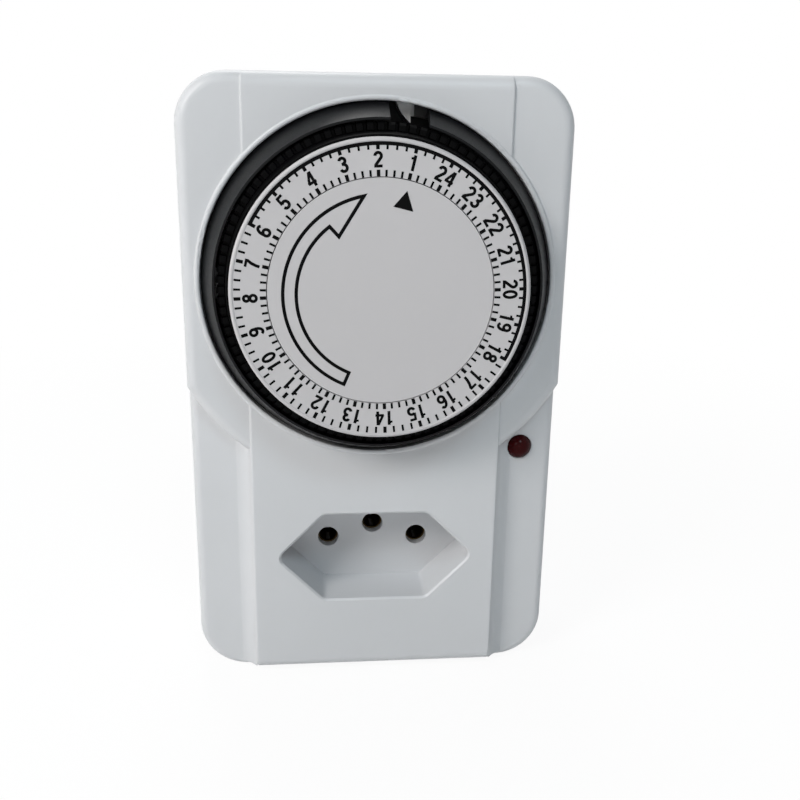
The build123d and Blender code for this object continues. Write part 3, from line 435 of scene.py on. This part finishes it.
def add_strip(mesh, inner, outer, closed):
    """Thin closed ribbon between two lines of points, on the dial's face."""
    inner_back, inner_front = face_lines(mesh, inner)
    outer_back, outer_front = face_lines(mesh, outer)
    around = (inner_front, outer_front, outer_back, inner_back)
    count = len(inner)
    for index in range(count if closed else count - 1):
        after = (index + 1) % count
        for side, following in zip(around, around[1:] + around[:1]):
            mesh.faces.new((side[index], side[after], following[after], following[index]))
    if not closed:
        for end in (0, -1):
            mesh.faces.new([side[end] for side in around])


def add_tick(mesh, radii, angle, width):
    """One straight mark along a radius."""
    turn = math.radians(angle)
    across = Vector((math.cos(turn), -math.sin(turn))) * width / 2
    low, high = [Vector(dial_point(radius, angle)) for radius in radii]
    add_prism(mesh, (low - across, high - across, high + across, low + across))


def dial_marks():
    """Quarter-hour marks on both sides of the numbers and the night arc."""
    mesh = bmesh.new()
    marks = HOURS * QUARTERS
    night_marks = (NIGHT_HOURS[1] - NIGHT_HOURS[0]) * QUARTERS
    for index in range(marks):
        angle = MIDNIGHT_ANGLE - 360.0 / marks * index
        width = TICK_WIDTH if index % QUARTERS else HOUR_TICK_WIDTH
        add_tick(mesh, INNER_TICK, angle, width)
        at_night = (index - NIGHT_HOURS[0] * QUARTERS) % marks <= night_marks
        outer_end = NIGHT_ARC[0] + NIGHT_LAP if at_night else OUTER_TICK[1]
        add_tick(mesh, (OUTER_TICK[0], outer_end), angle, width)
    half_tick = math.degrees(HOUR_TICK_WIDTH / 2 / NIGHT_ARC[1])
    first, last = [MIDNIGHT_ANGLE - hour * 360.0 / HOURS for hour in NIGHT_HOURS]
    first += half_tick
    last -= half_tick
    turns = [first + (last - first) * index / NIGHT_STEPS for index in range(NIGHT_STEPS + 1)]
    inner, outer = [[dial_point(radius, angle) for angle in turns] for radius in NIGHT_ARC]
    add_strip(mesh, inner, outer, closed=False)
    new_piece("dial_marks", mesh, "print_ink", "dial")


def stroke(points, width, closed):
    """Two lines beside a line of points, a pen's width apart, corners mitred."""
    left, right = [], []
    count = len(points)
    for index, point in enumerate(points):
        here = Vector(point)
        ahead = Vector(points[(index + 1) % count]) - here
        behind = here - Vector(points[index - 1])
        if not closed and index == 0:
            behind = ahead
        if not closed and index == count - 1:
            ahead = behind
        before = behind.normalized()
        after = ahead.normalized()
        side = Vector((-after.y, after.x))
        normal = (Vector((-before.y, before.x)) + side).normalized()
        reach = width / 2 / max(normal.dot(side), MITRE_COSINE)
        left.append(tuple(here + normal * reach))
        right.append(tuple(here - normal * reach))
    return left, right


def arc(middle_x, middle_y, radius_x, radius_y, first, last, steps=ARC_STEPS):
    """Points of part of an ellipse; angles are anticlockwise from the right."""
    points = []
    for index in range(steps + 1):
        turn = math.radians(first + (last - first) * index / steps)
        x = middle_x + radius_x * math.cos(turn)
        y = middle_y + radius_y * math.sin(turn)
        points.append((x, y))
    return points


def ring(middle_x, middle_y, radius_x, radius_y):
    """Points of a whole ellipse, ends meeting."""
    return arc(middle_x, middle_y, radius_x, radius_y, 0, 360, steps=RING_STEPS)


def digit_strokes():
    """Strokes of the ten digits, one unit high: a line of points and a share of the pen."""
    six_bowl = ring(0.295, 0.305, 0.205, 0.223)
    six_back = arc(0.335, 0.49, 0.245, 0.428, 48, 196)
    nine_bowl, nine_back = [
        [(NUMBER_WIDTH - x, 1.0 - y) for x, y in line] for line in (six_bowl, six_back)
    ]
    two_hook = arc(0.295, 0.705, 0.205, 0.213, 178, -38)
    three_upper = arc(0.285, 0.735, 0.185, 0.183, 165, -90)
    three_lower = arc(0.285, 0.300, 0.210, 0.218, 90, -165)
    five_bowl = arc(0.285, 0.312, 0.215, 0.230, 138, -165)
    return {
        "0": [(ring(0.295, 0.50, 0.205, 0.418), 1.0)],
        "1": [
            ([(0.345, 0.0), (0.345, 1.0)], 1.0),
            ([(0.11, 0.765), (0.24, 0.785), (0.32, 0.88), (0.335, 1.0)], 0.75),
        ],
        "2": [
            (two_hook + [(0.115, 0.13)], 1.0),
            ([(0.03, 0.078), (0.565, 0.078)], 0.94),
        ],
        "3": [
            (three_upper, 1.0),
            (three_lower, 1.0),
            ([(0.205, 0.535), (0.30, 0.535)], 0.94),
        ],
        "4": [
            ([(0.420, 0.0), (0.420, 1.0)], 1.0),
            ([(0.0, 0.285), (0.58, 0.285)], 0.88),
            ([(0.045, 0.27), (0.385, 0.965)], 0.88),
        ],
        "5": [
            ([(0.10, 0.925), (0.535, 0.925)], 0.90),
            ([(0.155, 0.99), (0.105, 0.45)], 0.88),
            (five_bowl, 1.0),
        ],
        "6": [(six_bowl, 1.0), (six_back, 1.0)],
        "7": [
            ([(0.03, 0.925), (0.56, 0.925)], 0.90),
            ([(0.50, 0.90), (0.34, 0.58), (0.26, 0.30), (0.225, 0.0)], 1.0),
        ],
        "8": [
            (ring(0.295, 0.738, 0.178, 0.182), 1.0),
            (ring(0.295, 0.292, 0.208, 0.210), 1.0),
        ],
        "9": [(nine_bowl, 1.0), (nine_back, 1.0)],
    }


def digit_mesh(strokes):
    """Points and triangles of a digit, its overlapping strokes joined into one flat shape."""
    points, quads = [], []
    for line, weight in strokes:
        closed = (Vector(line[0]) - Vector(line[-1])).length < CLOSED_GAP
        path = line[:-1] if closed else line
        left, right = stroke(path, NUMBER_STROKE * weight, closed)
        count = len(path)
        base = len(points)
        points += [Vector(point) for point in left + right]
        for index in range(count if closed else count - 1):
            after = (index + 1) % count
            quads.append([base + count + index, base + count + after, base + after, base + index])
    corners, _, triangles, _, _, sources = delaunay_2d_cdt(points, [], quads, 0, MERGE_GAP)
    kept = [triangle for triangle, source in zip(triangles, sources) if source]
    used = sorted({corner for triangle in kept for corner in triangle})
    places = {corner: index for index, corner in enumerate(used)}
    flat = [corners[corner] for corner in used]
    return flat, [[places[corner] for corner in triangle] for triangle in kept]


def add_digit(mesh, shape, start, turn):
    """One raised digit on the dial, begun at a distance from the hour's middle line."""
    points, triangles = shape
    line = []
    for point in points:
        across = (start + point.x) * NUMBER_HEIGHT
        up = NUMBER_BASE + point.y * NUMBER_HEIGHT
        x = up * math.sin(turn) + across * math.cos(turn)
        z = DIAL_Z + up * math.cos(turn) - across * math.sin(turn)
        line.append((x, z))
    back, front = face_lines(mesh, line)
    sides = []
    for triangle in triangles:
        mesh.faces.new([front[corner] for corner in triangle])
        mesh.faces.new([back[corner] for corner in reversed(triangle)])
        sides += zip(triangle, triangle[1:] + triangle[:1])
    shared = {(second, first) for first, second in sides}
    for first, second in sides:
        if (first, second) not in shared:
            mesh.faces.new((front[second], front[first], back[first], back[second]))


def dial_numbers():
    """The hours from 1 to 24, tops outward, counted anticlockwise."""
    mesh = bmesh.new()
    shapes = {digit: digit_mesh(strokes) for digit, strokes in digit_strokes().items()}
    for hour in range(1, HOURS + 1):
        text = str(hour)
        turn = math.radians(MIDNIGHT_ANGLE - hour * 360.0 / HOURS)
        start = -(NUMBER_ADVANCE * (len(text) - 1) + NUMBER_WIDTH) / 2
        for index, digit in enumerate(text):
            add_digit(mesh, shapes[digit], start + NUMBER_ADVANCE * index, turn)
    new_piece("dial_numbers", mesh, "print_ink", "dial")


def arrow_point(radius, angle):
    """Point of the arrow, whose own centre lies a little off the dial's axis."""
    x, z = dial_point(radius, angle)
    return (x + ARROW_SHIFT[0], z + ARROW_SHIFT[1])


def centre_marks():
    """Outlined arrow for the direction of turning and the solid index triangle."""
    mesh = bmesh.new()
    path = []
    for index in range(ARROW_STEPS):
        angle = ARROW_TAIL + (ARROW_TIP[1] - ARROW_TAIL) * index / ARROW_STEPS
        path.append(arrow_point(ARROW_OUTER, angle))
    path.append(arrow_point(*ARROW_TIP))
    path.append(arrow_point(*ARROW_BARB))
    for index in range(ARROW_STEPS + 1):
        angle = ARROW_NOTCH + (ARROW_TAIL - ARROW_NOTCH) * index / ARROW_STEPS
        path.append(arrow_point(ARROW_INNER, angle))
    inner, outer = stroke(path, ARROW_STROKE, closed=True)
    add_strip(mesh, inner, outer, closed=True)
    add_prism(mesh, [dial_point(*corner) for corner in TRIANGLE])
    new_piece("centre_marks", mesh, "print_ink", "housing")


def cross_angles():
    """Angles in degrees that meet every corner of an upright cross."""
    corner = math.degrees(math.atan2(CROSS_WIDTH, CROSS_LENGTH))
    third = (45.0 - corner) / 3
    half = [0.0, corner, corner + third, corner + 2 * third, 45.0]
    quarter = half + [90.0 - angle for angle in half[-2:0:-1]]
    return [90.0 * index + angle for index in range(4) for angle in quarter]


def cross_reach(angle):
    """Distance from the middle of an upright cross to its edge, at an angle in degrees."""
    along = max(abs(math.cos(math.radians(angle))), NEARLY_ZERO)
    across = max(abs(math.sin(math.radians(angle))), NEARLY_ZERO)
    lying = min(CROSS_LENGTH / 2 / along, CROSS_WIDTH / 2 / across)
    standing = min(CROSS_LENGTH / 2 / across, CROSS_WIDTH / 2 / along)
    return max(lying, standing)


def add_screw(mesh, x, z, end, top, turn):
    """Closed screw along Y with its head at the rear; the rings share one set of angles."""
    angles = cross_angles()
    count = len(angles)
    cross = [cross_reach(angle) for angle in angles]
    under = top - SCREW_HEAD_HEIGHT
    bulge = SCREW_BEVEL_BULGE * SCREW_HEAD_BEVEL
    profile = [
        (SCREW_HEAD_RADIUS - SCREW_HEAD_BEVEL, top),
        (SCREW_HEAD_RADIUS - bulge, top - bulge),
        (SCREW_HEAD_RADIUS, top - SCREW_HEAD_BEVEL),
        (SCREW_HEAD_RADIUS, under),
        (SCREW_RADIUS, under),
        (SCREW_RADIUS, end + SCREW_POINT_LENGTH),
        (SCREW_POINT_RADIUS, end),
    ]
    rows = [([CROSS_TAPER * reach for reach in cross], top - CROSS_DEPTH), (cross, top)]
    rows += [([radius] * count, y) for radius, y in profile]
    rings = []
    for reaches, y in rows:
        verts = []
        for angle, reach in zip(angles, reaches):
            way = math.radians(angle + turn)
            place = Vector((x + reach * math.cos(way), y, z + reach * math.sin(way)))
            verts.append(mesh.verts.new(place * MM))
        rings.append(verts)
    for inner, outer in zip(rings, rings[1:]):
        for index in range(count):
            after = (index + 1) % count
            mesh.faces.new((inner[index], inner[after], outer[after], outer[index]))
    for verts, y in ((rings[0], top - CROSS_DEPTH), (rings[-1], end)):
        middle = mesh.verts.new(Vector((x, y, z)) * MM)
        for index in range(count):
            mesh.faces.new((middle, verts[index], verts[(index + 1) % count]))


def case_screws():
    """The four screws at the back, in the places of the CAD's plain ones."""
    mesh = bmesh.new()
    low, high = [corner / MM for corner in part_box("case_screws")]
    sides = (low.x + SCREW_HEAD_RADIUS, high.x - SCREW_HEAD_RADIUS)
    heights = (low.z + SCREW_HEAD_RADIUS, high.z - SCREW_HEAD_RADIUS)
    places = [(x, z) for x in sides for z in heights]
    for (x, z), turn in zip(places, SCREW_TURNS):
        add_screw(mesh, x, z, low.y, high.y, turn)
    piece = new_piece("case_screws_crossed", mesh, "screw_steel", "housing")
    shade_smooth(piece)
    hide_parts("case_screws")


dial_marks()
dial_numbers()
centre_marks()
case_screws()


def reckon(tree, operation, first, second):
    """Sum, product or larger one of two numbers."""
    node = tree.nodes.new("ShaderNodeMath")
    node.operation = operation
    tree.links.new(first, node.inputs[0])
    tree.links.new(second, node.inputs[1])
    return node.outputs[0]


def seen_rays(tree):
    """One for rays that come from the camera, a mirror or glass, zero for the rest."""
    path = tree.nodes.new("ShaderNodeLightPath").outputs
    direct = reckon(tree, "MAXIMUM", path["Is Camera Ray"], path["Is Glossy Ray"])
    return reckon(tree, "MAXIMUM", direct, path["Is Transmission Ray"])


def mix_shaders(tree, share, first, second, output):
    """Blend two shaders by a share into an output."""
    mix = tree.nodes.new("ShaderNodeMixShader")
    tree.links.new(share, mix.inputs["Fac"])
    tree.links.new(first.outputs[0], mix.inputs[1])
    tree.links.new(second.outputs[0], mix.inputs[2])
    tree.links.new(mix.outputs["Shader"], output.inputs["Surface"])


def white_world():
    """White to the eye, a soft pale light to the surfaces, stronger from the left and behind."""
    world = bpy.data.worlds.new("studio")
    bpy.context.scene.world = world
    world.use_nodes = True
    tree = world.node_tree
    tree.nodes.clear()
    output = tree.nodes.new("ShaderNodeOutputWorld")
    seen = tree.nodes.new("ShaderNodeBackground")
    seen.inputs["Color"].default_value = (1, 1, 1, 1)
    seen.inputs["Strength"].default_value = 1.0
    fill = tree.nodes.new("ShaderNodeBackground")
    fill.inputs["Color"].default_value = (*FILL_COLOUR, 1)
    place = tree.nodes.new("ShaderNodeTexCoord")
    parts = tree.nodes.new("ShaderNodeSeparateXYZ")
    tree.links.new(place.outputs["Generated"], parts.inputs["Vector"])
    reach = (-FILL_SIDE_REACH, FILL_SIDE_REACH)
    sides = spread(tree, parts.outputs["X"], FILL_LEFT, FILL_RIGHT, *reach)
    behind = spread(tree, parts.outputs["Y"], 0.0, FILL_BEHIND, *FILL_BEHIND_RANGE)
    tree.links.new(reckon(tree, "ADD", sides, behind), fill.inputs["Strength"])
    mix_shaders(tree, seen_rays(tree), fill, seen, output)


def pale_floor():
    """Pale floor under the body that keeps its shadow and fades to the white behind it."""
    data = bpy.data.meshes.new("floor")
    corners = [(-1, -1), (1, -1), (1, 1), (-1, 1)]
    points = [(x * FLOOR_HALF, y * FLOOR_HALF, FLOOR_Z * MM) for x, y in corners]
    data.from_pydata(points, [], [(0, 1, 2, 3)])
    material, tree, paint = new_material("floor_white", "ShaderNodeBsdfDiffuse")
    output = paint.outputs[0].links[0].to_node
    paint.inputs["Color"].default_value = (*FLOOR_PAINT, 1)
    glow = tree.nodes.new("ShaderNodeEmission")
    glow.inputs["Strength"].default_value = 1.0
    place = tree.nodes.new("ShaderNodeTexCoord")
    away = tree.nodes.new("ShaderNodeVectorMath")
    away.operation = "LENGTH"
    tree.links.new(place.outputs["Object"], away.inputs[0])
    fade = spread(tree, away.outputs["Value"], FLOOR_NEAR_WHITE, 1.0, *FLOOR_FADE)
    share = reckon(tree, "MULTIPLY", seen_rays(tree), fade)
    mix_shaders(tree, share, paint, glow, output)
    data.materials.append(material)
    new_object("floor", data)


def lamp(name, azimuth, elevation, size, watts, colour):
    """Soft square lamp that looks at the object; azimuth is to the right of the front."""
    data = bpy.data.lights.new(name, "AREA")
    data.shape = "SQUARE"
    data.size = size
    data.energy = watts
    data.color = colour
    side = math.radians(azimuth)
    rise = math.radians(elevation)
    level = math.cos(rise)
    away = Vector((math.sin(side) * level, -math.cos(side) * level, math.sin(rise)))
    thing = new_object(name, data)
    thing.location = Vector(LAMP_AIM) + away * LAMP_DISTANCE
    thing.rotation_euler = away.to_track_quat("Z", "Y").to_euler()


def photo_camera():
    """Camera at the photograph's place and angle."""
    data = bpy.data.cameras.new("camera")
    data.sensor_fit = "HORIZONTAL"
    data.sensor_width = CAMERA_SENSOR
    data.lens = CAMERA_LENS
    data.clip_start = CAMERA_NEAR
    yaw, pitch, roll = [math.radians(a) for a in (CAMERA_YAW, CAMERA_PITCH, CAMERA_ROLL)]
    level = math.cos(pitch)
    ahead = Vector((math.sin(yaw) * level, math.cos(yaw) * level, -math.sin(pitch)))
    flat_right = Vector((math.cos(yaw), -math.sin(yaw), 0))
    flat_down = ahead.cross(flat_right)
    right = flat_right * math.cos(roll) + flat_down * math.sin(roll)
    down = flat_down * math.cos(roll) - flat_right * math.sin(roll)
    axes = Matrix((right, -down, -ahead)).transposed()
    thing = new_object("camera", data)
    thing.matrix_world = Matrix.Translation(Vector(CAMERA_PLACE) * MM) @ axes.to_4x4()
    bpy.context.scene.camera = thing


white_world()
pale_floor()
for name, values in LAMPS.items():
    lamp(name, *values)
photo_camera()
bpy.context.scene.view_settings.view_transform = "Standard"
